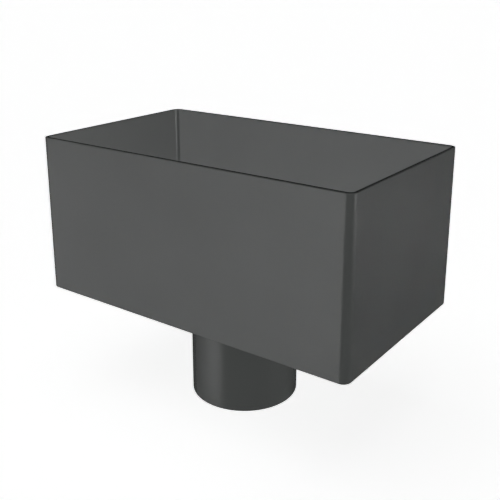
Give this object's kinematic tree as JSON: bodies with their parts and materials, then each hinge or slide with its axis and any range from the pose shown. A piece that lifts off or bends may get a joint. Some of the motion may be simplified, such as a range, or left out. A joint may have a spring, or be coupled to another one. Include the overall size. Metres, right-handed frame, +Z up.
{
  "type": "downpipe hopper head",
  "caption": "Open rectangular rainwater box of coated sheet with rounded upright corners, flat floor and a round outlet spigot below its middle, for feeding a downpipe.",
  "frame": {"origin": "centre of the outlet spigot's lower end", "axes": "+Z up along the spigot's axis, X along the wall behind the box, +Y towards that wall, front towards -Y"},
  "size_m": [0.29, 0.168, 0.217],
  "materials": {
    "anthracite_coat": "satin anthracite grey powder coat on aluminium sheet"
  },
  "bodies": {
    "root": {"hopper_head": "anthracite_coat"}
  },
  "joints": []
}
